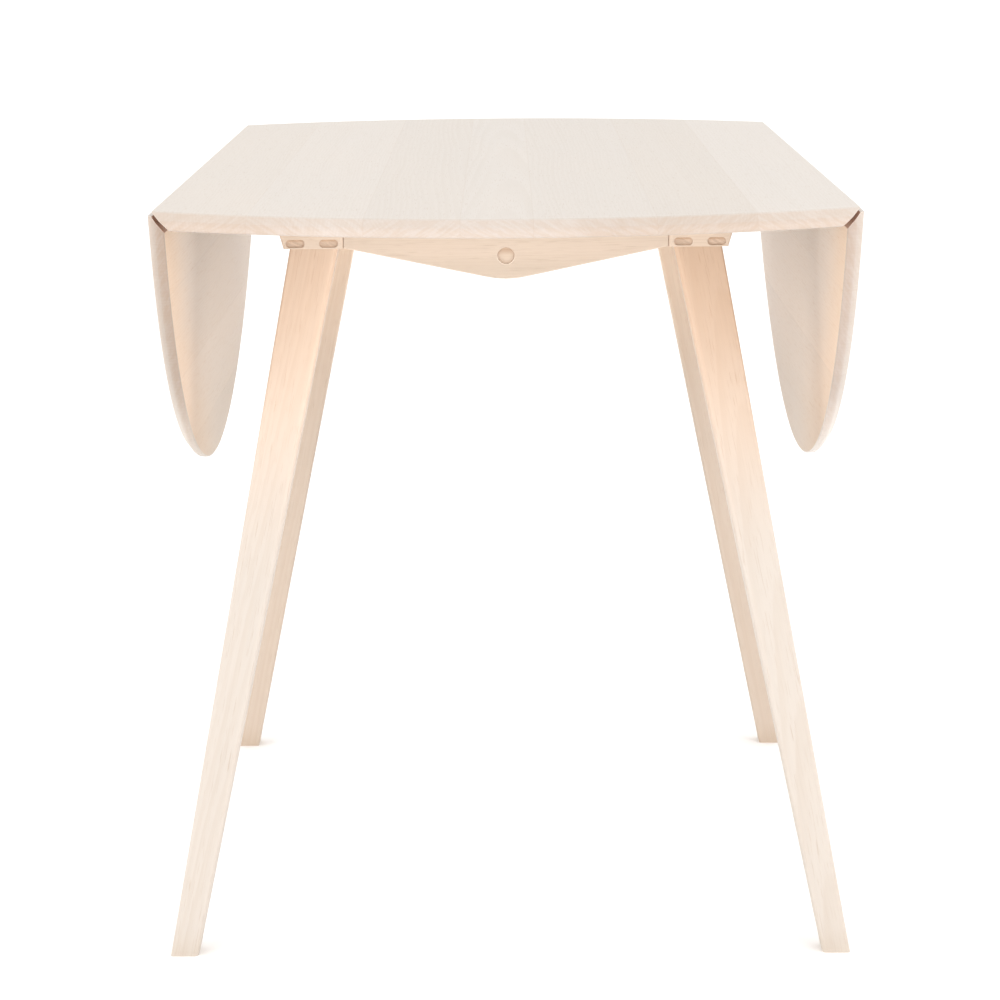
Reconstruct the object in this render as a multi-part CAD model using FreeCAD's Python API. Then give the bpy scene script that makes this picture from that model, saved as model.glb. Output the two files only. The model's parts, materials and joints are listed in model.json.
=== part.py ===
"""Drop leaf table: fixed centre top, two hanging leaves, splayed legs and sliding leaf supports.

Millimetres. Floor at Z 0, X across the leaves, Y along the hinges, front at -Y.
"""

import math
import os

import FreeCAD
import Part

V = FreeCAD.Vector
X_AXIS = V(1, 0, 0)
Y_AXIS = V(0, 1, 0)
Z_AXIS = V(0, 0, 1)
ORIGIN = V(0, 0, 0)

# Top boards. The raised table is one ellipse, cut by the two hinge lines.
table_height = 720.0
board = 15.0
half_open = 596.0
half_long = 560.0
hinge_x = 303.5
edge_bevel_in = 10.0
edge_bevel_down = 8.0
edge_soften = 5.0
edge_low_round = 1.5
leaf_gap = 0.3
top_bevel = 40.0
leaf_bevel = 38.0
top_land = 1.0
leaf_land = 4.0
underside = table_height - board

# Hinges
pivot_drop = 4.0
hinge_rows = (-330.0, 0.0, 330.0)
hinge_length = 50.0
knuckle_radius = 2.6
knuckle_gap = 0.3
pin_radius = 1.1
pin_clearance = 0.05
pocket_clearance = 0.4
plate_width = 14.5
plate_proud = 0.6
plate_sunk = 0.8
hinge_screw_row = 16.0
hinge_screw_out = 9.0
hinge_screw_radius = 1.5
hinge_screw_head = 2.8
hinge_screw_length = 7.5

# Leg heads, one on top of every leg
head_inner = 150.5
head_outer_top = 218.4
head_outer_low = 206.4
head_face = 277.0
head_depth = 36.0
head_low = 663.2
head_slit_round = 4.0
head_round = 1.5

# Legs: outside face of the section at the head and at the floor
leg_top_x = (155.9, 200.6)
leg_top_y = (241.4, 276.7)
leg_foot_x = (296.2, 322.2)
leg_foot_y = (330.2, 356.2)
leg_inner_round = 4.5
leg_round = 2.0
leg_tenon_wide = 10.0
leg_tenon_deep = 22.0
leg_tenon_tall = 25.0
leg_line = 180.0

# Aprons
apron_face = 275.0
apron_thick = 22.0
apron_slope = 0.208
apron_arc = 88.0
apron_round = 1.5
apron_tenon = 15.0
apron_tenon_thick = 10.0
apron_tenon_z = (680.0, 700.0)
hole_z = 655.5
recess_radius = 7.6
recess_depth = 16.0
recess_round = 0.8
bolt_radius = 3.0
bolt_head_radius = 5.0
bolt_head_tall = 5.0
bolt_length = 50.0
socket_radius = 2.5
socket_depth = 3.0
plug_shy = 2.5
plug_fit = 0.03
plug_round = 0.4

# Side rails and their loose tenons
rail_half = 29.0
rail_top = 684.0
tenon_pitch = 31.0
tenon_wide = 17.5
tenon_tall = 7.6
tenon_z = 668.0
tenon_shy = 1.8
tenon_in_rail = 32.0

# Centre stretcher
stretcher_half = 15.0
stretcher_z = (642.0, 672.0)

# Sliding leaf supports
slide_gap = 0.4
bearer_wide = 38.0
bearer_long = 300.0
bearer_tip = 208.5
bearer_low = rail_top + slide_gap
bearer_high = underside - slide_gap
bearer_outer_y = 195.0
bearer_round = 3.0
peg_radius = 5.0
peg_drop = 12.0
peg_x = -62.0

# Guides and keepers of the sliding supports
guide_wide = 12.0
guide_half = 150.0
keeper_thick = 8.0
keeper_long = 20.0
keeper_x = 80.0
keeper_screw_row = 5.5
wood_screw_radius = 2.0
wood_screw_head = 3.8
guide_screw_length = 28.0
keeper_screw_length = 22.0

# Buttons that hold the top on the aprons
button_x = 80.0
button_half = 14.0
button_long = 30.0
button_low = 688.0
tongue_z = (690.0, 696.0)
tongue_long = 7.5
tongue_gap = 0.3
button_screw_length = 26.0

far = 2000.0


def box(x, y, z):
    return Part.makeBox(x[1] - x[0], y[1] - y[0], z[1] - z[0], V(x[0], y[0], z[0]))


def prism_y(points, y):
    """Extrude an outline of (x, z) points from y[0] to y[1]."""
    wire = Part.makePolygon([V(px, y[0], pz) for px, pz in points + points[:1]])
    return Part.Face(wire).extrude(V(0, y[1] - y[0], 0))


def cylinder(radius, length, start, direction):
    return Part.makeCylinder(radius, length, start, direction)


def flip_x(shape):
    return shape.mirror(ORIGIN, X_AXIS)


def flip_y(shape):
    return shape.mirror(ORIGIN, Y_AXIS)


def group(shapes):
    return Part.makeCompound(shapes)


def place(shape, side, end):
    """Take a shape of the right rear quarter to side -1 or 1 and end -1 or 1."""
    if side < 0:
        shape = flip_x(shape)
    if end < 0:
        shape = flip_y(shape)
    return shape


def fillet_where(shape, radius, chosen):
    edges = [edge for edge in shape.Edges if chosen(edge)]
    return shape.makeFillet(radius, edges)


def cross_slot(head, direction, size):
    """Cross-shaped drive recess in the flat face of a screw head."""
    bars = [
        Part.makeBox(size * 2, size * 0.5, size, V(-size, -size * 0.25, -size * 0.3)),
        Part.makeBox(size * 0.5, size * 2, size, V(-size * 0.25, -size, -size * 0.3)),
    ]
    cross = bars[0].fuse(bars[1]).removeSplitter()
    if direction.z < 0:
        cross = cross.mirror(ORIGIN, Z_AXIS)
    return cross.translated(head)


def screw(head, direction, length, radius, head_radius, slotted):
    """Countersunk screw along Z; head is the centre of its flat face. Holes are cut unslotted."""
    cone_tall = head_radius - radius
    cone = Part.makeCone(head_radius, radius, cone_tall, head, direction)
    shank = cylinder(radius, length - radius, head, direction)
    tip_at = head + direction * (length - radius)
    tip = Part.makeCone(radius, 0, radius, tip_at, direction)
    body = cone.fuse([shank, tip]).removeSplitter()
    if slotted:
        body = body.cut(cross_slot(head, direction, radius))
    return body


# --- top and leaves -------------------------------------------------------------------------

def level_edges(shape, low, high):
    """Edges that lie flat between two levels."""
    return [edge for edge in shape.Edges if edge.BoundBox.ZMin > low and edge.BoundBox.ZMax < high]


def ellipse_board():
    """The raised table as one board, its upper arris worked to a soft bevel."""
    curve = Part.Ellipse(V(0, 0, underside), half_open, half_long)
    face = Part.Face(Part.Wire(curve.toShape()))
    slab = face.extrude(V(0, 0, board))
    top_edge = level_edges(slab, table_height - 0.1, table_height + 0.1)
    slab = slab.makeChamfer(edge_bevel_down, edge_bevel_in, top_edge)
    slab = slab.makeFillet(edge_soften, level_edges(slab, underside + 0.1, table_height + 0.1))
    return slab.makeFillet(edge_low_round, level_edges(slab, underside - 0.1, underside + 0.1))


def top_section():
    run = (board - top_land) / math.tan(math.radians(top_bevel))
    half = [(hinge_x, table_height), (hinge_x, table_height - top_land), (hinge_x - run, underside)]
    other = [(-px, pz) for px, pz in reversed(half)]
    return prism_y(half + other, (-far, far))


def leaf_section():
    edge = hinge_x + leaf_gap
    run = (board - leaf_land) / math.tan(math.radians(leaf_bevel))
    points = [
        (edge, table_height),
        (edge, table_height - leaf_land),
        (edge + run, underside),
        (far, underside),
        (far, table_height),
    ]
    return prism_y(points, (-far, far))


def pivot(y=0.0):
    return V(hinge_x, y, table_height - pivot_drop)


def hinge_turn(shape, angle):
    return shape.rotated(pivot(), Y_AXIS, angle)


def top_surface():
    """Level of the top's bevel seen from the pivot, along the outward normal."""
    return -(pivot_drop - top_land) * math.cos(math.radians(top_bevel))


def leaf_surface():
    turn = math.radians(leaf_bevel)
    return leaf_gap * math.sin(turn) + (pivot_drop - leaf_land) * math.cos(turn)


def hinge_slab(x, y, level):
    low, high = level
    return Part.makeBox(x[1] - x[0], y[1] - y[0], high - low, V(hinge_x + x[0], y[0], pivot().z + low))


def hinge_screws(row, face, direction, slotted):
    heads = [V(hinge_x + hinge_screw_out, row + s * hinge_screw_row, pivot().z + face) for s in (-1, 1)]
    return [
        screw(head, direction, hinge_screw_length, hinge_screw_radius, hinge_screw_head, slotted)
        for head in heads
    ]


def knuckle_spans(row):
    third = hinge_length / 3
    low = row - hinge_length / 2
    outer = (low, low + third - knuckle_gap / 2)
    middle = (low + third + knuckle_gap / 2, low + 2 * third - knuckle_gap / 2)
    last = (low + 2 * third + knuckle_gap / 2, low + hinge_length)
    return outer, middle, last


def hinge_plate(row, level, spans, bore):
    """Plate with its knuckles in the spans, lying along +X from the pivot."""
    ends = (row - hinge_length / 2, row + hinge_length / 2)
    inner = knuckle_radius + pocket_clearance
    plate = hinge_slab((inner, plate_width), ends, level)
    barrels = [
        cylinder(knuckle_radius, span[1] - span[0], pivot(span[0]), Y_AXIS) for span in spans
    ]
    tabs = [hinge_slab((0, inner), span, level) for span in spans]
    hole = cylinder(bore, hinge_length + 2, pivot(ends[0] - 1), Y_AXIS)
    return plate.fuse(barrels + tabs).removeSplitter().cut(hole)


def top_plate(row):
    surface = top_surface()
    level = (surface - plate_sunk, surface + plate_proud)
    first, _, last = knuckle_spans(row)
    plate = hinge_plate(row, level, (first, last), pin_radius)
    plate = plate.cut(hinge_screws(row, level[1], -Z_AXIS, False))
    return hinge_turn(plate, 180 - top_bevel)


def top_screws(row, slotted):
    screws = hinge_screws(row, top_surface() + plate_proud, -Z_AXIS, slotted)
    return [hinge_turn(item, 180 - top_bevel) for item in screws]


def leaf_plate(row):
    surface = leaf_surface()
    level = (surface - plate_proud, surface + plate_sunk)
    _, middle, _ = knuckle_spans(row)
    plate = hinge_plate(row, level, (middle,), pin_radius + pin_clearance)
    plate = plate.cut(hinge_screws(row, level[0], Z_AXIS, False))
    return hinge_turn(plate, leaf_bevel)


def leaf_screws(row, slotted):
    screws = hinge_screws(row, leaf_surface() - plate_proud, Z_AXIS, slotted)
    return [hinge_turn(item, leaf_bevel) for item in screws]


def hinge_pocket(row, level, turn):
    ends = (row - hinge_length / 2 - knuckle_gap, row + hinge_length / 2 + knuckle_gap)
    barrel = cylinder(knuckle_radius + knuckle_gap, ends[1] - ends[0], pivot(ends[0]), Y_AXIS)
    recess = hinge_turn(hinge_slab((0, plate_width + knuckle_gap), ends, level), turn)
    return barrel.fuse(recess)


def top_pocket(row):
    surface = top_surface()
    return hinge_pocket(row, (surface - plate_sunk, surface + plate_proud), 180 - top_bevel)


def leaf_pocket(row):
    surface = leaf_surface()
    return hinge_pocket(row, (surface - plate_proud, surface + plate_sunk), leaf_bevel)


def build_hinges():
    """All hinge parts of the right side, the leaf side still raised flat."""
    parts = {"top_plates": [], "top_screws": [], "leaf_plates": [], "leaf_screws": [], "pins": []}
    for row in hinge_rows:
        parts["top_plates"].append(top_plate(row))
        parts["top_screws"].extend(top_screws(row, True))
        parts["leaf_plates"].append(leaf_plate(row))
        parts["leaf_screws"].extend(leaf_screws(row, True))
        start = pivot(row - hinge_length / 2)
        parts["pins"].append(cylinder(pin_radius, hinge_length, start, Y_AXIS))
    return parts


def build_top(fixings):
    top = ellipse_board().common(top_section())
    right = [top_pocket(row) for row in hinge_rows]
    for row in hinge_rows:
        right.extend(top_screws(row, False))
    left = [flip_x(item) for item in right]
    return top.cut(right + left + fixings)


def build_leaf():
    leaf = ellipse_board().common(leaf_section())
    tools = [leaf_pocket(row) for row in hinge_rows]
    for row in hinge_rows:
        tools.extend(leaf_screws(row, False))
    return leaf.cut(tools)


def hang_angle(leaf):
    """Turn from flat to the rest position, where the leaf's weight is right under the pins."""
    centre = leaf.CenterOfGravity
    return math.degrees(math.atan2(centre.x - hinge_x, pivot().z - centre.z))


# --- underframe, drawn for the right rear quarter -------------------------------------------

def oval(length, start_y, x):
    """Loose tenon with round ends, running along +Y."""
    flat = (tenon_wide - tenon_tall) / 2
    middle = box((x - flat, x + flat), (start_y, start_y + length),
                 (tenon_z - tenon_tall / 2, tenon_z + tenon_tall / 2))
    ends = [
        cylinder(tenon_tall / 2, length, V(x + s * flat, start_y, tenon_z), Y_AXIS) for s in (-1, 1)
    ]
    return middle.fuse(ends).removeSplitter()


def tenon_lines():
    return [leg_line + s * tenon_pitch / 2 for s in (-1, 1)]


def loose_tenons():
    start = head_face - head_depth - tenon_in_rail
    length = head_face - tenon_shy - start
    return [oval(length, start, x) for x in tenon_lines()]


def leg_tenon():
    middle = head_face - head_depth / 2
    return box((leg_line - leg_tenon_wide / 2, leg_line + leg_tenon_wide / 2),
               (middle - leg_tenon_deep / 2, middle + leg_tenon_deep / 2),
               (head_low, head_low + leg_tenon_tall))


def upright(edge):
    return edge.BoundBox.ZLength > 1 and edge.BoundBox.YLength < 0.1


def upright_at(edge, x, y):
    middle = edge.CenterOfMass
    return upright(edge) and abs(middle.x - x) < 0.1 and abs(middle.y - y) < 0.1


def outer_upright(edge):
    return upright(edge) and edge.BoundBox.XMax > head_outer_low


def build_head():
    points = [
        (head_inner, head_low),
        (head_outer_low, head_low),
        (head_outer_top, underside),
        (head_inner, underside),
    ]
    block = prism_y(points, (head_face - head_depth, head_face))
    block = fillet_where(block, head_slit_round, lambda edge: upright_at(edge, head_inner, head_face))
    block = fillet_where(block, head_round, outer_upright)
    mortises = [oval(head_depth + 2, head_face - head_depth - 1, x) for x in tenon_lines()]
    return block.cut(mortises + [leg_tenon(), apron_end()])


def rounded_section(x, y, z, inner_round, other_round):
    """Wire of a rectangle whose corner at low x and high y has the larger round."""
    block = box(x, y, (z, z + 10.0))
    block = fillet_where(block, inner_round, lambda edge: upright_at(edge, x[0], y[1]))
    others = [(x[0], y[0]), (x[1], y[0]), (x[1], y[1])]
    block = fillet_where(block, other_round, lambda edge: any(upright_at(edge, *place) for place in others))
    base = min(block.Faces, key=lambda face: face.CenterOfMass.z)
    return base.OuterWire


def build_leg():
    foot = rounded_section(leg_foot_x, leg_foot_y, 0.0, leg_inner_round, leg_round)
    top = rounded_section(leg_top_x, leg_top_y, head_low, leg_inner_round, leg_round)
    return Part.makeLoft([foot, top], True, True).fuse(leg_tenon())


def apron_end():
    middle = apron_face - apron_thick / 2
    return box((head_inner - 1, head_inner + apron_tenon),
               (middle - apron_tenon_thick / 2, middle + apron_tenon_thick / 2), apron_tenon_z)


def apron_board():
    """Straight top edge, shallow V below with an arc in the middle."""
    lean = math.atan(apron_slope)
    touch_x = apron_arc * math.sin(lean)
    touch_z = head_low - apron_slope * (head_inner - touch_x)
    bottom_z = touch_z - apron_arc * (1 - math.cos(lean))
    y = apron_face - apron_thick
    left_touch = V(-touch_x, y, touch_z)
    right_touch = V(touch_x, y, touch_z)
    corners = [V(head_inner, y, head_low), V(head_inner, y, underside),
               V(-head_inner, y, underside), V(-head_inner, y, head_low)]
    arc = Part.Arc(left_touch, V(0, y, bottom_z), right_touch).toShape()
    sides = [Part.LineSegment(a, b).toShape() for a, b in zip(corners[:-1], corners[1:])]
    flanks = [Part.LineSegment(right_touch, corners[0]).toShape(),
              Part.LineSegment(corners[-1], left_touch).toShape()]
    wire = Part.Wire(Part.sortEdges([arc, flanks[0]] + sides + [flanks[1]])[0])
    plank = Part.Face(wire).extrude(V(0, apron_thick, 0))
    return fillet_where(plank, apron_round, lower_edge)


def lower_edge(edge):
    span = edge.BoundBox
    return span.YLength < 0.1 and span.ZMax < head_low + 0.1 and span.XLength > 10


def button_tongue(gap):
    y = apron_face - apron_thick
    return box((button_x - button_half - gap, button_x + button_half + gap),
               (y - gap, y + tongue_long + gap), (tongue_z[0] - gap, tongue_z[1] + gap))


def bolt():
    seat = apron_face - recess_depth
    head = cylinder(bolt_head_radius, bolt_head_tall, V(0, seat, hole_z), Y_AXIS)
    shank = cylinder(bolt_radius, bolt_length, V(0, seat - bolt_length, hole_z), Y_AXIS)
    socket_at = V(0, seat + bolt_head_tall - socket_depth, hole_z)
    turns = [math.radians(60 * k) for k in range(7)]
    corners = [socket_at + V(math.cos(turn), 0, math.sin(turn)) * socket_radius for turn in turns]
    socket = Part.Face(Part.makePolygon(corners)).extrude(V(0, socket_depth + 1, 0))
    return head.fuse(shank).removeSplitter().cut(socket)


def bolt_plug():
    """Wooden plug over the bolt, a little below the apron's face."""
    low = apron_face - recess_depth + bolt_head_tall
    plug = cylinder(recess_radius - plug_fit, apron_face - plug_shy - low, V(0, low, hole_z), Y_AXIS)
    return plug.makeFillet(plug_round, [max(plug.Edges, key=lambda edge: edge.BoundBox.YMin)])


def build_apron():
    recess = cylinder(recess_radius, recess_depth, V(0, apron_face - recess_depth, hole_z), Y_AXIS)
    hole = cylinder(bolt_radius, apron_thick + 2, V(0, apron_face - apron_thick - 1, hole_z), Y_AXIS)
    plank = apron_board().fuse([apron_end(), flip_x(apron_end())]).removeSplitter()
    slots = [button_tongue(tongue_gap), flip_x(button_tongue(tongue_gap))]
    plank = plank.cut([recess, hole] + slots)
    return fillet_where(plank, recess_round, recess_rim)


def recess_rim(edge):
    span = edge.BoundBox
    round_rim = isinstance(edge.Curve, Part.Circle) and abs(edge.Curve.Radius - recess_radius) < 0.01
    return round_rim and span.YMin > apron_face - 0.1


def build_side_rail():
    reach = head_face - head_depth
    rail = box((leg_line - rail_half, leg_line + rail_half), (-reach, reach), (head_low, rail_top))
    tenons = loose_tenons()
    return rail.cut(tenons + [flip_y(item) for item in tenons])


def build_stretcher():
    reach = apron_face - apron_thick
    bar = box((-stretcher_half, stretcher_half), (-reach, reach), stretcher_z)
    return bar.cut([bolt(), flip_y(bolt())])


def button_screw(slotted):
    head = V(button_x, apron_face - apron_thick - button_long * 0.6, button_low)
    return screw(head, Z_AXIS, button_screw_length, wood_screw_radius, wood_screw_head, slotted)


def build_button():
    y = apron_face - apron_thick
    wide = (button_x - button_half, button_x + button_half)
    block = box(wide, (y - button_long, y), (button_low, underside))
    block = block.fuse(button_tongue(0)).removeSplitter()
    return block.cut(button_screw(False))


# --- sliding supports -----------------------------------------------------------------------

def lane_y(lane):
    """Lane 1 runs beside the apron, lane 0 beside the middle."""
    high = bearer_outer_y - (1 - lane) * (bearer_wide + slide_gap)
    return (high - bearer_wide, high)


def build_bearer(lane):
    """Support that slides out to +X."""
    bar = box((bearer_tip - bearer_long, bearer_tip), lane_y(lane), (bearer_low, bearer_high))
    bar = fillet_where(bar, bearer_round, lambda e: e.BoundBox.XMin > bearer_tip - 0.1)
    return bar.cut(build_peg(lane))


def build_peg(lane):
    y = sum(lane_y(lane)) / 2
    return cylinder(peg_radius, peg_drop + 10.0, V(peg_x, y, bearer_low - peg_drop), Z_AXIS)


def guide_y(lane):
    low, high = lane_y(lane)
    if lane:
        return (high + slide_gap, high + slide_gap + guide_wide)
    return (low - slide_gap - guide_wide, low - slide_gap)


def guide_screw_heads(lane, level):
    return [V(x, sum(guide_y(lane)) / 2, level) for x in (-120.0, 0.0, 120.0)]


def guide_screws(lane, slotted):
    return [
        screw(head, Z_AXIS, guide_screw_length, wood_screw_radius, wood_screw_head, slotted)
        for head in guide_screw_heads(lane, bearer_low)
    ]


def keeper_span(lane):
    """A keeper hangs under its own lane and its guide, at the inner end of the parked support."""
    ends = lane_y(lane) + guide_y(lane)
    return (min(ends), max(ends))


def keeper_side(lane):
    return -1 if lane == 0 else 1


def keeper_screws(lane, slotted):
    y = sum(guide_y(lane)) / 2
    x = keeper_side(lane) * keeper_x
    heads = [V(x + s * keeper_screw_row, y, rail_top - keeper_thick) for s in (-1, 1)]
    return [
        screw(head, Z_AXIS, keeper_screw_length, wood_screw_radius, wood_screw_head, slotted)
        for head in heads
    ]


def build_guide(lane):
    bar = box((-guide_half, guide_half), guide_y(lane), (rail_top, underside))
    sinks = [
        cylinder(wood_screw_head, slide_gap, head, Z_AXIS)
        for head in guide_screw_heads(lane, rail_top)
    ]
    return bar.cut(guide_screws(lane, False) + keeper_screws(lane, False) + sinks)


def build_keeper(lane):
    x = keeper_side(lane) * keeper_x
    block = box((x - keeper_long / 2, x + keeper_long / 2), keeper_span(lane),
                (rail_top - keeper_thick, rail_top))
    return block.cut(keeper_screws(lane, False))


# --- assembly -------------------------------------------------------------------------------

def both_ends(shapes):
    return shapes + [flip_y(item) for item in shapes]


def four_corners(shapes):
    rear = shapes + [flip_x(item) for item in shapes]
    return both_ends(rear)


def add_quarters(nodes):
    head = build_head()
    leg = build_leg()
    for end, end_name in ((-1, "front"), (1, "rear")):
        for side, side_name in ((-1, "left"), (1, "right")):
            nodes[f"{end_name}_{side_name}_head"] = place(head, side, end)
            nodes[f"{end_name}_{side_name}_leg"] = place(leg, side, end)
    nodes["rear_apron"] = build_apron()
    nodes["front_apron"] = flip_y(nodes["rear_apron"])
    nodes["right_side_rail"] = build_side_rail()
    nodes["left_side_rail"] = flip_x(nodes["right_side_rail"])
    nodes["side_rail_tenons"] = group(four_corners(loose_tenons()))
    nodes["centre_stretcher"] = build_stretcher()
    nodes["stretcher_bolts"] = group(both_ends([bolt()]))
    nodes["top_buttons"] = group(four_corners([build_button()]))
    nodes["bolt_plugs"] = group(both_ends([bolt_plug()]))
    nodes["button_screws"] = group(four_corners([button_screw(True)]))


def add_supports(nodes):
    """Lane 0 carries the supports that slide out to the right, lane 1 those to the left."""
    guides = [build_guide(lane) for lane in (0, 1)]
    keepers = [build_keeper(lane) for lane in (0, 1)]
    screws = guide_screws(0, True) + guide_screws(1, True)
    nodes["rear_bearer_guides"] = group(guides)
    nodes["front_bearer_guides"] = group([flip_y(item) for item in guides])
    nodes["bearer_keepers"] = group(both_ends(keepers))
    nodes["guide_screws"] = group(both_ends(screws))
    nodes["keeper_screws"] = group(both_ends(keeper_screws(0, True) + keeper_screws(1, True)))
    for end, end_name in ((-1, "front"), (1, "rear")):
        for side, lane, side_name in ((1, 0, "right"), (-1, 1, "left")):
            nodes[f"{end_name}_{side_name}_bearer"] = place(build_bearer(lane), side, end)
            nodes[f"{end_name}_{side_name}_bearer_peg"] = place(build_peg(lane), side, end)


def add_top(nodes):
    hinges = build_hinges()
    guide_holes = guide_screws(0, False) + guide_screws(1, False)
    fixings = both_ends(guide_holes) + four_corners([button_screw(False)])
    nodes["centre_top"] = build_top(fixings)
    leaf = build_leaf()
    hang = hang_angle(leaf)
    right = {
        "leaf": hinge_turn(leaf, hang),
        "hinge_leaf_plates": group([hinge_turn(item, hang) for item in hinges["leaf_plates"]]),
        "hinge_leaf_screws": group([hinge_turn(item, hang) for item in hinges["leaf_screws"]]),
        "hinge_top_plates": group(hinges["top_plates"]),
        "hinge_top_screws": group(hinges["top_screws"]),
        "hinge_pins": group(hinges["pins"]),
    }
    for name, shape in right.items():
        nodes[f"right_{name}"] = shape
        nodes[f"left_{name}"] = flip_x(shape)
    return hang


def main():
    os.makedirs("parts", exist_ok=True)
    nodes = {}
    add_quarters(nodes)
    add_supports(nodes)
    hang = add_top(nodes)
    for name, shape in sorted(nodes.items()):
        shape.exportStep(f"parts/{name}.step")
        print(name, len(shape.Solids), shape.isValid(), round(shape.Volume / 1000, 1))
    print("hang angle", round(hang, 4), "nodes", len(nodes))


main()
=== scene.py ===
import json
import math

import bpy
from mathutils import Matrix, Vector


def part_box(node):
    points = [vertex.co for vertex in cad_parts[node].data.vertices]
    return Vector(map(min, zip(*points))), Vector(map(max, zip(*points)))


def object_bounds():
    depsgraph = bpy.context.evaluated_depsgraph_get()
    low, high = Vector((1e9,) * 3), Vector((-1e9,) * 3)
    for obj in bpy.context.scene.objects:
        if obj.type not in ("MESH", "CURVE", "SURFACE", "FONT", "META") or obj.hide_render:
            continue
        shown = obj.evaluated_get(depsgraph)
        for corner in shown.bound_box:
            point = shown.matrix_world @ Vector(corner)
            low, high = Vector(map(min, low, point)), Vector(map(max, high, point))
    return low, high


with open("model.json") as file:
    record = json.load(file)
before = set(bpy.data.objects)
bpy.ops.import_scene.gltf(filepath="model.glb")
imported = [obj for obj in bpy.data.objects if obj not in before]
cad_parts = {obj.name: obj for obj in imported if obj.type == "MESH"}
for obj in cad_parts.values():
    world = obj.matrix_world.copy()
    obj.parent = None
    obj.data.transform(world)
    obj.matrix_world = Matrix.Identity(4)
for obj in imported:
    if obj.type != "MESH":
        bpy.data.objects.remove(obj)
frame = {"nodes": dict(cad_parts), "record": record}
cad_low, cad_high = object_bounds()

MM = 0.001

# Colours are linear light values.
ASH_PALE = (0.552, 0.502, 0.454)
ASH_LATE = (0.480, 0.417, 0.354)
BEECH_PALE = (0.562, 0.502, 0.448)
BEECH_LATE = (0.490, 0.406, 0.332)
FRAME_PALE = (0.700, 0.575, 0.470)
FRAME_LATE = (0.630, 0.490, 0.372)
TENON_PALE = (0.830, 0.700, 0.570)
TENON_LATE = (0.715, 0.565, 0.435)
PORE = (0.420, 0.300, 0.210)
WORN = (0.780, 0.700, 0.610)
END_DARK = (0.450, 0.330, 0.240)

# Tints multiply the wood's own colour.
WARM_BOARD = (1.0, 0.955, 0.895)
END_TONE = (0.92, 0.85, 0.82)
LIGHT_END_TONE = (1.07, 1.11, 1.15)
MITRE_TONE = (0.98, 0.74, 0.64)

# The leaves: painted light on the underside, warm painted light on its front strip and painted shade on its low
# part, then painted shade on the rim, with painted light on the right leaf's rim and on the rim's low part.
LEAF_UNDER_PAINTED_LIGHT = (1.28, 1.21, 1.15)
LEAF_FRONT_PAINTED_WARM_LIGHT = (1.07, 0.96, 0.84)
LEAF_LOW_PAINTED_SHADE = (0.88, 0.89, 0.89)
LEAF_RIM_PAINTED_SHADE = (0.77, 0.73, 0.70)
RIGHT_RIM_PAINTED_LIGHT = (1.18, 1.22, 1.28)
LOW_RIM_PAINTED_LIGHT = (1.46, 1.53, 1.58)

# The underframe: painted shade low on the apron and on the tops of the plug and the tenons, and painted light on
# the lower rim of the plug's hole.
HEAD_TONE = (1.10, 1.10, 1.10)
SHADED_TONE = (0.88, 0.80, 0.72)
APRON_LOW_PAINTED_SHADE = (0.90, 0.90, 0.89)
PLUG_TONE = (1.02, 1.01, 1.00)
PLUG_SHADE_TONE = (0.80, 0.72, 0.65)
HOLE_RIM_PAINTED_LIGHT = (1.32, 1.40, 1.48)

# The legs: the rear legs carry painted shade, painted light is laid on the upper part, from a level up to the
# shoulder, and the rounded arris gets a painted highlight.
FRONT_LEG_TONE = (1.0, 1.0, 1.0)
REAR_LEG_PAINTED_SHADE = (0.97, 0.90, 0.84)
LEFT_LEG_PAINTED_LIGHT = (1.34, 1.13, 0.965)
RIGHT_LEG_PAINTED_LIGHT = (1.20, 0.975, 0.80)
REAR_LEG_PAINTED_LIGHT = (1.80, 1.78, 1.74)
FOOT_TONE = (0.95, 0.93, 0.90)
ROUNDED_ARRIS_PAINTED_HIGHLIGHT = (1.06, 1.06, 1.06)
FRONT_HIGH_FROM = 0.34
REAR_HIGH_FROM = 0.36
HIGH_FULL = 0.66

# Glue lines: X on the top, distance from the hinge line on the leaves.
TOP_JOINTS = (-0.219, -0.119, -0.038, 0.023, 0.1265, 0.212)
LEAF_JOINTS = (0.074, 0.163, 0.241)

LIGHT_COLOUR = (1.0, 0.985, 0.96)
LIGHT_SIZE = 2.8
LIGHT_TARGET = (0.0, 0.0, 0.5)
WORLD_STRENGTH = 1.32


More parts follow.
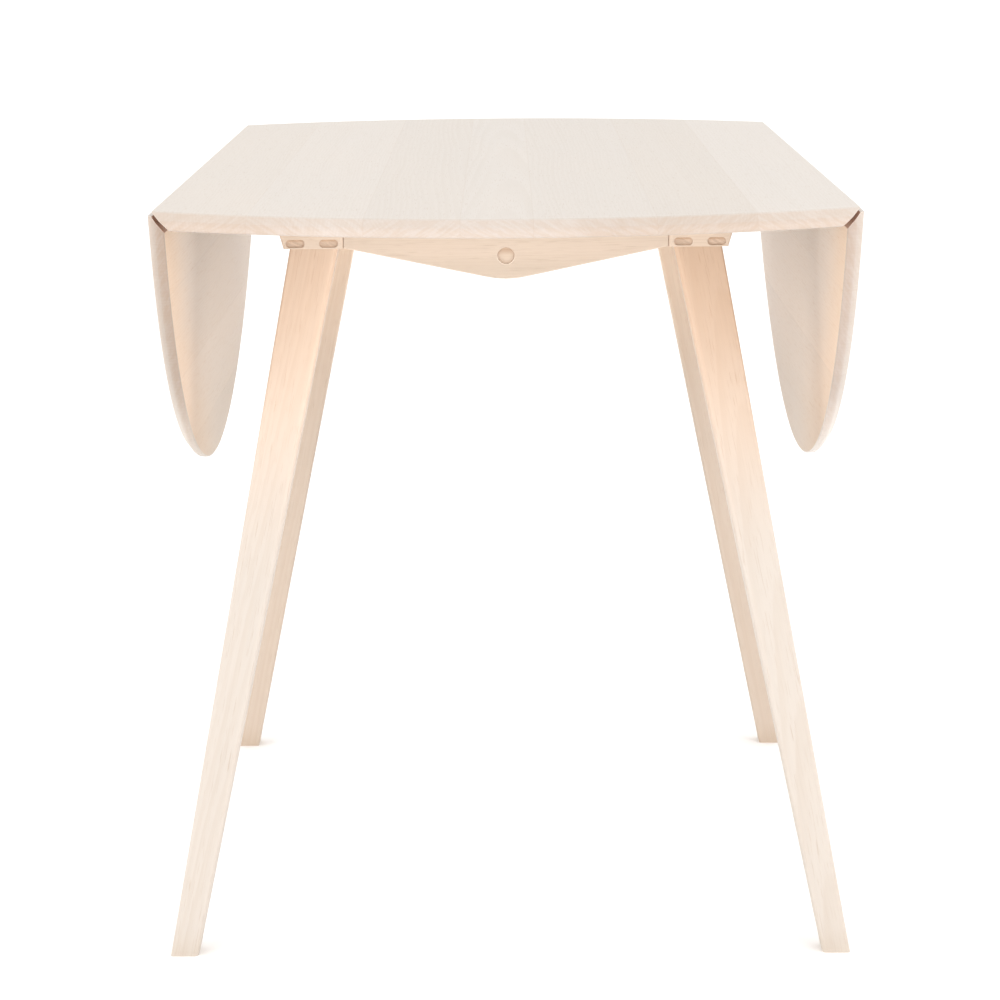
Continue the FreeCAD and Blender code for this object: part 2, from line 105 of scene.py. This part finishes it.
class Net:
    """Adds shader nodes to one material and links them."""

    def __init__(self, name):
        self.material = bpy.data.materials.new(name)
        self.material.use_nodes = True
        self.tree = self.material.node_tree
        self.tree.nodes.clear()

    def add(self, kind, **settings):
        node = self.tree.nodes.new(kind)
        for key, value in settings.items():
            setattr(node, key, value)
        return node

    def put(self, socket, value):
        if isinstance(value, bpy.types.NodeSocket):
            self.tree.links.new(value, socket)
        else:
            socket.default_value = value

    def math(self, operation, *values, clamp=False):
        node = self.add("ShaderNodeMath", operation=operation, use_clamp=clamp)
        for socket, value in zip(node.inputs, values):
            self.put(socket, value)
        return node.outputs[0]

    def add_up(self, first, *others):
        for other in others:
            first = self.math("ADD", first, other)
        return first

    def line(self, value, slope, offset):
        return self.math("MULTIPLY_ADD", value, slope, offset)

    def scaled(self, value, slope):
        return self.line(value, slope, 0.0)

    def step(self, value, low, high, to_low=0.0, to_high=1.0):
        node = self.add("ShaderNodeMapRange", interpolation_type="SMOOTHSTEP")
        for name, item in (("Value", value), ("From Min", low), ("From Max", high),
                           ("To Min", to_low), ("To Max", to_high)):
            self.put(node.inputs[name], item)
        return node.outputs["Result"]

    def vector(self, x, y, z):
        node = self.add("ShaderNodeCombineXYZ")
        for socket, value in zip(node.inputs, (x, y, z)):
            self.put(socket, value)
        return node.outputs[0]

    def noise(self, x, y, z, detail=2.0, rough=0.5):
        node = self.add("ShaderNodeTexNoise")
        self.put(node.inputs["Vector"], self.vector(x, y, z))
        node.inputs["Scale"].default_value = 1.0
        node.inputs["Detail"].default_value = detail
        node.inputs["Roughness"].default_value = rough
        return node.outputs["Fac"]

    def streaks(self, values, scales, drift, detail, rough=0.5):
        """Noise with its own scale along each of three directions, moved along the first one."""
        first, second, third = values
        return self.noise(self.line(first, scales[0], drift), self.scaled(second, scales[1]),
                          self.scaled(third, scales[2]), detail, rough)

    def random(self, value):
        """Three repeatable random numbers for a value."""
        node = self.add("ShaderNodeTexWhiteNoise", noise_dimensions="1D")
        self.put(node.inputs["W"], value)
        split = self.add("ShaderNodeSeparateColor")
        self.put(split.inputs[0], node.outputs["Color"])
        return split.outputs[0], split.outputs[1], split.outputs[2]

    def mix(self, factor, first, second, blend="MIX"):
        node = self.add("ShaderNodeMix", data_type="RGBA", blend_type=blend)
        self.put(node.inputs[0], factor)
        self.put(node.inputs[6], first if isinstance(first, bpy.types.NodeSocket) else (*first, 1.0))
        self.put(node.inputs[7], second if isinstance(second, bpy.types.NodeSocket) else (*second, 1.0))
        return node.outputs[2]

    def grey(self, value):
        node = self.add("ShaderNodeCombineColor")
        for socket in node.inputs:
            self.put(socket, value)
        return node.outputs[0]

    def place(self):
        """Position on the object in metres, split into X, Y and Z."""
        node = self.add("ShaderNodeTexCoord")
        split = self.add("ShaderNodeSeparateXYZ")
        self.put(split.inputs[0], node.outputs["Object"])
        return split.outputs[0], split.outputs[1], split.outputs[2]

    def facing(self, axis):
        """How squarely the surface faces along one of the object's own axes, 0 to 1."""
        node = self.add("ShaderNodeTexCoord")
        split = self.add("ShaderNodeSeparateXYZ")
        self.put(split.inputs[0], node.outputs["Normal"])
        return self.math("ABSOLUTE", split.outputs["xyz".index(axis)])

    def slanted(self, least_up):
        """1 on faces that look both sideways along X and up or down."""
        return self.math("MULTIPLY", self.step(self.facing("x"), 0.50, 0.60),
                         self.step(self.facing("z"), least_up, least_up + 0.10))

    def arris(self, radius):
        """Closeness to a sharp edge of the solid, 0 to 1."""
        bevel = self.add("ShaderNodeBevel", samples=6)
        bevel.inputs["Radius"].default_value = radius
        plain = self.add("ShaderNodeNewGeometry")
        dot = self.add("ShaderNodeVectorMath", operation="DOT_PRODUCT")
        self.put(dot.inputs[0], bevel.outputs[0])
        self.put(dot.inputs[1], plain.outputs["Normal"])
        return self.step(dot.outputs["Value"], 0.78, 0.99, 1.0, 0.0)

    def finish(self, colour, roughness, height, depth, metallic=0.0, specular=0.4):
        shader = self.add("ShaderNodeBsdfPrincipled")
        self.put(shader.inputs["Base Color"], colour)
        self.put(shader.inputs["Roughness"], roughness)
        shader.inputs["Metallic"].default_value = metallic
        shader.inputs["Specular IOR Level"].default_value = specular
        bump = self.add("ShaderNodeBump")
        bump.inputs["Strength"].default_value = 0.6
        bump.inputs["Distance"].default_value = depth
        self.put(bump.inputs["Height"], height)
        self.put(shader.inputs["Normal"], bump.outputs[0])
        out = self.add("ShaderNodeOutputMaterial")
        self.put(out.inputs["Surface"], shader.outputs[0])
        return self.material


# --- wood -----------------------------------------------------------------------------------

def boards(net, across, joints):
    """Board number and closeness to the nearest glue line, for boards side by side."""
    number = 0.0
    nearest = 1.0
    for joint in joints:
        past = net.math("GREATER_THAN", across, joint)
        number = net.math("ADD", past, number)
        gap = net.math("ABSOLUTE", net.math("SUBTRACT", across, joint))
        nearest = net.math("MINIMUM", gap, nearest)
    return number, net.step(nearest, 0.1 * MM, 0.6 * MM, 1.0, 0.0)


def wood(net, grain, across, depth, board, pale, late, ring=3.2 * MM, contrast=0.55, pores=0.5,
         glue=None, end=None, zones=(), worn=WORN):
    """Solid wood: growth rings round a pith beside the board, pores and fibres along the grain.

    end is 1 where the cut is across the grain. Every zone is a mask and the tint it lays on the wood.
    """
    first, second, third = net.random(board)
    drift = net.line(first, 31.0, 0.0)
    side = net.line(net.math("GREATER_THAN", third, 0.5), 2.0, -1.0)
    pith_across = net.line(second, 0.11, -0.055)
    pith_depth = net.math("MULTIPLY", side, net.line(first, 0.06, 0.035))

    slow = net.noise(net.line(grain, 1.6, drift), net.line(across, 5.0, 0.0), net.line(depth, 5.0, drift))
    sway = net.line(slow, 0.030, -0.015)
    from_across = net.add_up(across, net.math("MULTIPLY", pith_across, -1.0), sway)
    from_depth = net.add_up(depth, net.math("MULTIPLY", pith_depth, -1.0), net.line(grain, 0.012, 0.0))
    squares = net.add_up(net.math("POWER", from_across, 2.0), net.math("POWER", from_depth, 2.0))
    radius = net.math("SQRT", squares)
    uneven = net.noise(net.line(radius, 170.0, drift), net.line(grain, 1.1, 0.0), 0.0, 1.0)
    phase = net.math("FRACT", net.add_up(net.math("DIVIDE", radius, ring), net.line(uneven, 1.3, drift)))
    late_wood = net.math("MULTIPLY", net.step(phase, 0.18, 0.86), net.step(phase, 0.90, 1.0, 1.0, 0.0))

    fibre = net.streaks((grain, across, depth), (5.0, 620.0, 620.0), drift, 3.0, 0.6)
    vessel = net.streaks((grain, across, depth), (42.0, 1500.0, 1500.0), drift, 1.0)
    early = net.line(late_wood, -0.75, 1.0)
    pore = net.math("MULTIPLY", net.step(vessel, 0.60, 0.72), early)
    cloud = net.streaks((grain, across, depth), (2.2, 11.0, 11.0), drift, 3.0, 0.55)
    band = net.noise(net.line(grain, 0.7, drift), net.line(across, 75.0, drift), net.line(depth, 75.0, 0.0), 2.0)

    amount = net.math("MULTIPLY", late_wood, net.line(band, 1.5 * contrast, -0.25 * contrast), clamp=True)
    colour = net.mix(amount, pale, late)
    colour = net.mix(net.math("MULTIPLY", pore, pores * 0.55), colour, PORE)
    tint = net.add_up(net.line(fibre, 0.08, 0.96), net.line(cloud, 0.12, -0.06))
    tint = net.add_up(tint, net.line(second, 0.06, -0.03))
    colour = net.mix(1.0, colour, net.grey(tint), "MULTIPLY")
    colour = net.mix(net.line(third, 0.30, 0.0), colour, net.mix(1.0, colour, WARM_BOARD, "MULTIPLY"))
    rough = net.add_up(net.line(cloud, 0.14, 0.36), net.scaled(pore, 0.20), net.scaled(fibre, 0.08))
    height = net.add_up(net.scaled(fibre, 0.30), net.scaled(pore, -0.9), net.scaled(late_wood, 0.16))
    if end is not None:
        lean = net.math("MULTIPLY", side, 0.5)
        stroke = net.add_up(net.line(across, 0.87, 0.0), net.math("MULTIPLY", depth, lean))
        spread = net.add_up(net.scaled(depth, 0.87), net.math("MULTIPLY", across, net.scaled(lean, -1.0)))
        feather = net.streaks((stroke, spread, grain), (75.0, 430.0, 25.0), drift, 3.0)
        fleck = net.step(feather, 0.36, 0.66)
        colour = net.mix(end, colour, net.mix(1.0, colour, END_TONE, "MULTIPLY"))
        colour = net.mix(net.math("MULTIPLY", end, net.line(fleck, -0.40, 0.40)), colour, END_DARK)
        rough = net.add_up(rough, net.line(end, 0.10, 0.0))
        height = net.add_up(height, net.math("MULTIPLY", end, net.line(fleck, 0.7, 0.0)))
    for mask, zone_tint in zones:
        colour = net.mix(mask, colour, net.mix(1.0, colour, zone_tint, "MULTIPLY"))
    if glue is not None:
        colour = net.mix(net.line(glue, 0.16, 0.0), colour, PORE)
        height = net.add_up(height, net.line(glue, -0.4, 0.0))
    scuff = net.streaks((grain, across, depth), (60.0, 160.0, 160.0), 0.0, 3.0, 0.6)
    wear = net.math("MULTIPLY", net.arris(1.6 * MM), net.step(scuff, 0.35, 0.75, 0.30, 1.0))
    colour = net.mix(net.line(wear, 0.45, 0.0), colour, worn)
    rough = net.add_up(rough, net.line(wear, 0.08, 0.0))
    return net.finish(colour, rough, height, 0.14 * MM)


def oval_reach(net, x, y, half_open, half_long):
    """Squared distance from the middle of the raised oval, 1 at its rim."""
    return net.add_up(net.math("POWER", net.line(x, 1 / half_open, 0.0), 2.0),
                      net.math("POWER", net.line(y, 1 / half_long, 0.0), 2.0))


def top_wood():
    """Boards of the top lie side by side along X, with the mitre and the lighter middle of the ends."""
    net = Net("top_ash")
    x, y, z = net.place()
    number, glue = boards(net, x, TOP_JOINTS)
    end = net.step(net.facing("y"), 0.10, 0.90)
    mitre = net.slanted(0.50)
    between = net.math("MULTIPLY", net.step(x, -0.21, -0.15), net.step(x, 0.10, 0.03))
    light_end = net.math("MULTIPLY", end, between)
    return wood(net, y, x, net.line(z, 1.0, -cad_high.z), net.line(number, 1.0, 3.0), ASH_PALE, ASH_LATE,
                contrast=0.40, glue=glue, end=end, zones=[(mitre, MITRE_TONE), (light_end, LIGHT_END_TONE)])


def leaf_wood(hinge, hang, half_open, half_long):
    """Boards of a leaf run along the hinge, so the leaf's own flat coordinates are worked out first.

    along is the distance from the hinge line in the plane of the leaf, thick the height above it.
    """
    net = Net("leaf_ash")
    x, y, z = net.place()
    out = net.line(net.math("ABSOLUTE", x), 1.0, -hinge[0])
    up = net.line(z, 1.0, -hinge[2])
    along = net.add_up(net.line(out, math.cos(hang), 0.0), net.line(up, -math.sin(hang), 0.0))
    thick = net.add_up(net.line(out, math.sin(hang), 0.0), net.line(up, math.cos(hang), 0.0))
    number, glue = boards(net, along, LEAF_JOINTS)
    number = net.add_up(net.line(net.math("GREATER_THAN", x, 0.0), 7.0, 20.0), number)
    across = net.line(along, 1.0, hinge[0])
    reach = oval_reach(net, across, y, half_open, half_long)
    rim = net.step(reach, 0.955, 0.995)
    flat = net.step(net.math("MAXIMUM", net.facing("y"), net.facing("z")), 0.30, 0.10)
    mitre = net.math("MULTIPLY", net.slanted(0.45), net.step(along, 22 * MM, 18 * MM))
    under = net.math("MULTIPLY", net.step(thick, -8 * MM, -10.5 * MM), flat)
    end = net.step(net.facing("y"), 0.10, 0.90)
    edge = net.math("MULTIPLY", rim, net.line(flat, -1.0, 1.0))
    low = net.step(along, 0.16, 0.27)
    right = net.math("GREATER_THAN", x, 0.0)
    front = net.math("MULTIPLY", net.step(y, 0.02, -0.22), net.step(reach, 0.58, 0.96))
    # Painted light on the underside, warmer on a strip near the front edge, and painted shade on the underside's
    # low part.
    zones = [(under, LEAF_UNDER_PAINTED_LIGHT), (net.math("MULTIPLY", under, front), LEAF_FRONT_PAINTED_WARM_LIGHT),
             (net.math("MULTIPLY", under, low), LEAF_LOW_PAINTED_SHADE),
             # Painted shade on the rims, with painted light on the right leaf's rim and on the rim's low part.
             (edge, LEAF_RIM_PAINTED_SHADE), (net.math("MULTIPLY", edge, right), RIGHT_RIM_PAINTED_LIGHT),
             (net.math("MULTIPLY", edge, low), LOW_RIM_PAINTED_LIGHT), (mitre, MITRE_TONE)]
    return wood(net, y, across, thick, number, ASH_PALE, ASH_LATE,
                contrast=0.40, glue=glue, end=end, zones=zones)


def section(mesh_object, level):
    """Middle and half size, in X and Y, of a leg's section at a level."""
    points = [v.co for v in mesh_object.data.vertices if abs(v.co.z - level) < 0.2 * MM]
    spans = []
    for axis in (0, 1):
        values = [abs(p[axis]) for p in points]
        spans.append(((max(values) + min(values)) / 2, (max(values) - min(values)) / 2))
    return spans


def toned(colour, tone):
    return tuple(part * scale for part, scale in zip(colour, tone))


def leg_wood(node, shoulder, seed, tone, painted_light_tone, high_from):
    """The grain follows the leg, which leans out in X and Y and tapers to the foot.

    The painted light on the upper part is laid on every face but the one that looks to the rear.
    """
    net = Net(node + "_beech")
    leg = frame["nodes"][node]
    foot, top = section(leg, 0.0), section(leg, shoulder)
    x, y, z = net.place()
    offsets, shares = [], []
    for axis, value in ((0, x), (1, y)):
        middle = net.line(z, (top[axis][0] - foot[axis][0]) / shoulder, foot[axis][0])
        half = net.line(z, (top[axis][1] - foot[axis][1]) / shoulder, foot[axis][1])
        offset = net.math("SUBTRACT", net.math("ABSOLUTE", value), middle)
        offsets.append(offset)
        shares.append(net.math("DIVIDE", offset, half))
    # Painted highlight along the rounded arris between the inner side and the outer face.
    arris_highlight = net.math("MULTIPLY", net.step(shares[0], -0.62, -0.86), net.step(shares[1], 0.66, 0.86))
    # Darker towards the foot.
    foot_darkening = net.step(z, 0.030, 0.002)
    to_front = net.line(shares[1], -1.0 if "rear" in node else 1.0, 0.0)
    # Painted light: the upper part of the leg is made lighter, standing for light reaching under the top.
    high = net.math("MULTIPLY", net.step(z, high_from, HIGH_FULL), net.step(to_front, -0.95, -0.30))
    zones = [(high, painted_light_tone), (foot_darkening, FOOT_TONE), (arris_highlight, ROUNDED_ARRIS_PAINTED_HIGHLIGHT)]
    pale, late = toned(BEECH_PALE, tone), toned(BEECH_LATE, tone)
    return wood(net, z, offsets[0], offsets[1], float(seed), pale, late,
                ring=2.6 * MM, contrast=0.40, pores=0.75, zones=zones, worn=toned(WORN, tone))


def hole_low_rim(net, x, z, radius, level):
    """1 on the lower half of the rim of a round hole on the line x = 0."""
    drop = net.line(z, 1.0, -level)
    off = net.math("SQRT", net.add_up(net.math("MULTIPLY", x, x), net.math("MULTIPLY", drop, drop)))
    low = net.math("MULTIPLY", net.step(drop, 0.0, -radius / 2), net.step(off, radius - MM, radius))
    return net.math("MULTIPLY", low, net.step(off, radius + 1.2 * MM, radius + 0.6 * MM))


def plain_wood(name, order, seed, pale=FRAME_PALE, late=FRAME_LATE, ring=2.8 * MM, contrast=0.42, pores=0.6,
               shaded=None, shade=SHADED_TONE, hole=None):
    """Wood of a straight piece. order names the axes of the grain, the width and the thickness.

    shaded is the two levels between which the painted shade tint fades in, hole a radius and a level; the lower
    rim of that hole gets painted light.
    """
    net = Net(name)
    x, y, z = net.place()
    axes = {"x": x, "y": y, "z": z}
    half_x = net.line(net.math("GREATER_THAN", x, 0.0), 3.0, seed)
    piece = net.add_up(half_x, net.line(net.math("GREATER_THAN", y, 0.0), 5.0, 0.0))
    if order[0] == "x":
        piece = net.line(net.math("GREATER_THAN", y, 0.0), 5.0, seed)
    if order[0] == "y":
        piece = half_x
    across, depth = axes[order[1]], axes[order[2]]
    end = net.step(net.facing(order[0]), 0.55, 0.95)
    zones = [(net.step(z, *shaded), shade)] if shaded else []
    if hole:
        # Painted light on the lower rim of the hole, where the groove is shaded.
        zones.append((hole_low_rim(net, x, z, *hole), HOLE_RIM_PAINTED_LIGHT))
    return wood(net, axes[order[0]], across, depth, piece, pale, late, ring=ring, contrast=contrast,
                pores=pores, end=end, zones=zones)


# --- metal ----------------------------------------------------------------------------------

def metal(name, colour, stained, roughness):
    """Rolled or turned steel: fine scratches, dull patches and a little staining."""
    net = Net(name)
    spot = net.place()
    scratch = net.streaks(spot, (2600.0, 160.0, 2600.0), 0.0, 3.0, 0.6)
    patch = net.streaks(spot, (90.0, 90.0, 90.0), 0.0, 3.0, 0.6)
    fleck = net.streaks(spot, (900.0, 900.0, 900.0), 0.0, 2.0, 0.5)
    tone = net.mix(net.step(patch, 0.45, 0.70, 0.0, 0.7), colour, stained)
    tone = net.mix(net.step(fleck, 0.66, 0.76, 0.0, 0.5), tone, stained)
    tone = net.mix(1.0, tone, net.grey(net.line(scratch, 0.24, 0.88)), "MULTIPLY")
    rough = net.add_up(net.line(scratch, 0.16, roughness), net.line(patch, 0.18, -0.05))
    return net.finish(tone, rough, scratch, 0.03 * MM, metallic=1.0, specular=0.5)


# --- dressing the frame ---------------------------------------------------------------------

def joint_named(name):
    for joint in frame["record"]["behaviour"]["joints"]:
        if joint["name"] == name:
            return joint
    raise RuntimeError("no joint " + name)


def leaf_material():
    joint = joint_named("right_leaf_hinge")
    hinge = joint["pos_m"]
    leaf_low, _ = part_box("right_leaf")
    _, top_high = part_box("centre_top")
    half_open = hinge[0] + (hinge[2] - leaf_low[2])
    return leaf_wood(hinge, math.radians(joint["range_deg"][1]), half_open, top_high[1])


def frame_wood(name, seed, tone, **looks):
    pale, late = toned(FRAME_PALE, tone), toned(FRAME_LATE, tone)
    return plain_wood(name, "xzy", seed, pale=pale, late=late, **looks)


def leg_materials():
    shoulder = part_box("front_left_head")[0][2]
    rows = (("front_left_leg", 11, FRONT_LEG_TONE, LEFT_LEG_PAINTED_LIGHT, FRONT_HIGH_FROM),
            ("front_right_leg", 13, FRONT_LEG_TONE, RIGHT_LEG_PAINTED_LIGHT, FRONT_HIGH_FROM),
            ("rear_left_leg", 15, REAR_LEG_PAINTED_SHADE, REAR_LEG_PAINTED_LIGHT, REAR_HIGH_FROM),
            ("rear_right_leg", 17, REAR_LEG_PAINTED_SHADE, REAR_LEG_PAINTED_LIGHT, REAR_HIGH_FROM))
    return {row[0] + "_wood": leg_wood(row[0], shoulder, *row[1:]) for row in rows}


def material_table():
    """One material for each material slot that the record names."""
    plug_low, plug_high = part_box("bolt_plugs")
    plug_hole = ((plug_high[2] - plug_low[2]) / 2, (plug_high[2] + plug_low[2]) / 2)
    plug_shade = (plug_low[2] + 7 * MM, plug_high[2] - 2 * MM)
    apron_low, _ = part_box("front_apron")
    # Painted shade fades in towards the bottom of the apron's face.
    apron_shade = (apron_low[2] + 28 * MM, apron_low[2] + 8 * MM)
    _, tenon_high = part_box("side_rail_tenons")
    tenon_shade = (tenon_high[2] - 3.0 * MM, tenon_high[2] - 1.2 * MM)
    tenon = {"pale": TENON_PALE, "late": TENON_LATE}
    table = {
        "top_wood": top_wood(),
        "leaf_wood": leaf_material(),
        "head_wood": frame_wood("head_beech", 41.0, HEAD_TONE),
        "apron_wood": plain_wood("apron_beech", "xzy", 57.0, contrast=0.36, shaded=apron_shade,
                                 shade=APRON_LOW_PAINTED_SHADE, hole=plug_hole),
        "rail_wood": plain_wood("rail_beech", "yxz", 63.0),
        "bearer_wood": plain_wood("bearer_beech", "xyz", 71.0, pale=BEECH_PALE, late=BEECH_LATE),
        "guide_wood": plain_wood("guide_beech", "xyz", 83.0, contrast=0.6),
        "tenon_wood": plain_wood("tenon_beech", "yxz", 91.0, ring=1.6 * MM, contrast=0.9, pores=0.9,
                                 shaded=tenon_shade, **tenon),
        "plug_wood": frame_wood("plug_beech", 97.0, PLUG_TONE, shaded=plug_shade,
                                shade=PLUG_SHADE_TONE, hole=plug_hole),
        "peg_wood": plain_wood("peg_beech", "zxy", 103.0, **tenon),
        "hinge_steel": metal("hinge_plate_steel", (0.44, 0.42, 0.38), (0.24, 0.20, 0.15), 0.30),
        "pin_steel": metal("pin_steel", (0.40, 0.39, 0.37), (0.20, 0.17, 0.14), 0.34),
        "screw_steel": metal("screw_steel", (0.50, 0.47, 0.40), (0.26, 0.20, 0.13), 0.28),
        "bolt_steel": metal("bolt_steel", (0.10, 0.10, 0.10), (0.20, 0.15, 0.11), 0.38),
    }
    table.update(leg_materials())
    return table


def dress():
    """Lays the materials on the CAD nodes' own slots."""
    table = material_table()
    slots = {row["node"]: row["material_slot"] for row in frame["record"]["subparts"]}
    for node, mesh_object in frame["nodes"].items():
        for slot in mesh_object.material_slots:
            slot.material = table[slots[node]]


# --- stage ----------------------------------------------------------------------------------

def make_floor():
    """A pale matt floor, wide enough to reach the horizon of the view."""
    half = 60.0
    mesh = bpy.data.meshes.new("floor")
    corners = [(-half, -half, 0), (half, -half, 0), (half, half, 0), (-half, half, 0)]
    mesh.from_pydata(corners, [], [(0, 1, 2, 3)])
    floor = bpy.data.objects.new("floor", mesh)
    bpy.context.scene.collection.objects.link(floor)
    net = Net("studio_floor")
    x, y, z = net.place()
    cloud = net.noise(net.line(x, 1.3, 0.0), net.line(y, 1.3, 0.0), 0.0, 2.0)
    tone = net.grey(net.line(cloud, 0.01, 0.965))
    mesh.materials.append(net.finish(tone, 0.9, cloud, 0.02 * MM, specular=0.1))


def area_light(name, place, power):
    data = bpy.data.lights.new(name, "AREA")
    data.shape = "SQUARE"
    data.size = LIGHT_SIZE
    data.energy = power
    data.color = LIGHT_COLOUR
    light = bpy.data.objects.new(name, data)
    bpy.context.scene.collection.objects.link(light)
    light.location = place
    aim = Vector(LIGHT_TARGET) - Vector(place)
    light.rotation_euler = aim.to_track_quat("-Z", "Y").to_euler()


def make_light():
    """An even white surround and one large soft light on each side of the front."""
    world = bpy.data.worlds.new("studio")
    world.use_nodes = True
    background = world.node_tree.nodes["Background"]
    background.inputs["Color"].default_value = (1.0, 1.0, 1.0, 1.0)
    background.inputs["Strength"].default_value = WORLD_STRENGTH
    bpy.context.scene.world = world
    area_light("front_left", (-2.6, -2.3, 0.9), 42.0)
    area_light("front_right", (2.6, -2.3, 0.9), 45.0)


def make_camera():
    """Looks at the front, a little down. Lengths are in metres, angles in radians."""
    distance, height = 2.9161, 0.9824
    pitch, roll, pan = 0.2085, -0.0069, 0.0027
    focal, frame_width = 2854.9, 1000.0
    data = bpy.data.cameras.new("camera")
    data.sensor_width = 36.0
    data.lens = focal * data.sensor_width / frame_width
    data.clip_end = 200.0
    camera = bpy.data.objects.new("camera", data)
    bpy.context.scene.collection.objects.link(camera)
    turn = Matrix.Rotation(pan, 4, "Z") @ Matrix.Rotation(math.pi / 2 - pitch, 4, "X")
    turn = turn @ Matrix.Rotation(roll, 4, "Z")
    camera.matrix_world = Matrix.Translation((0.0, -distance, height)) @ turn
    bpy.context.scene.camera = camera


dress()
make_floor()
make_light()
make_camera()
bpy.context.scene.view_settings.view_transform = "Standard"
